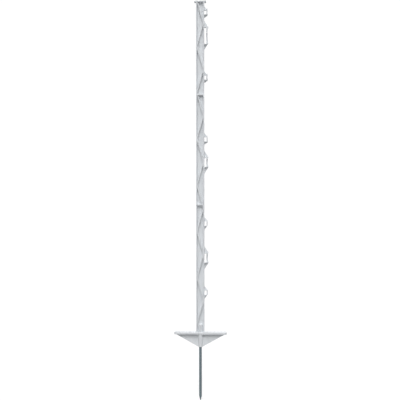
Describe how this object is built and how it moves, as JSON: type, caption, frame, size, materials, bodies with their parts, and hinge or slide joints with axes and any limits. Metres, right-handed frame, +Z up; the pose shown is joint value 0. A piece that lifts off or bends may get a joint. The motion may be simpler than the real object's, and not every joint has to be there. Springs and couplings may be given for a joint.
{
  "type": "plastic fence post",
  "caption": "Step-in electric fence post: ribbed I-section stem with rope eyes and tape slots down one side, flat cap, tread plate and a steel ground spike.",
  "frame": {"origin": "on the spike's axis, where the steel leaves the mouth of its socket", "axes": "+Z up along the post, +X towards the cord holders, +Y from the front to the back"},
  "size_m": [0.205, 0.024, 1.5585],
  "materials": {
    "white_plastic": "white moulded plastic with a fine satin grain",
    "galvanised_steel": "galvanised round steel bar, dull grey with a drawn grain"
  },
  "bodies": {
    "root": {"post": "white_plastic", "ground_spike": "galvanised_steel"}
  },
  "joints": []
}
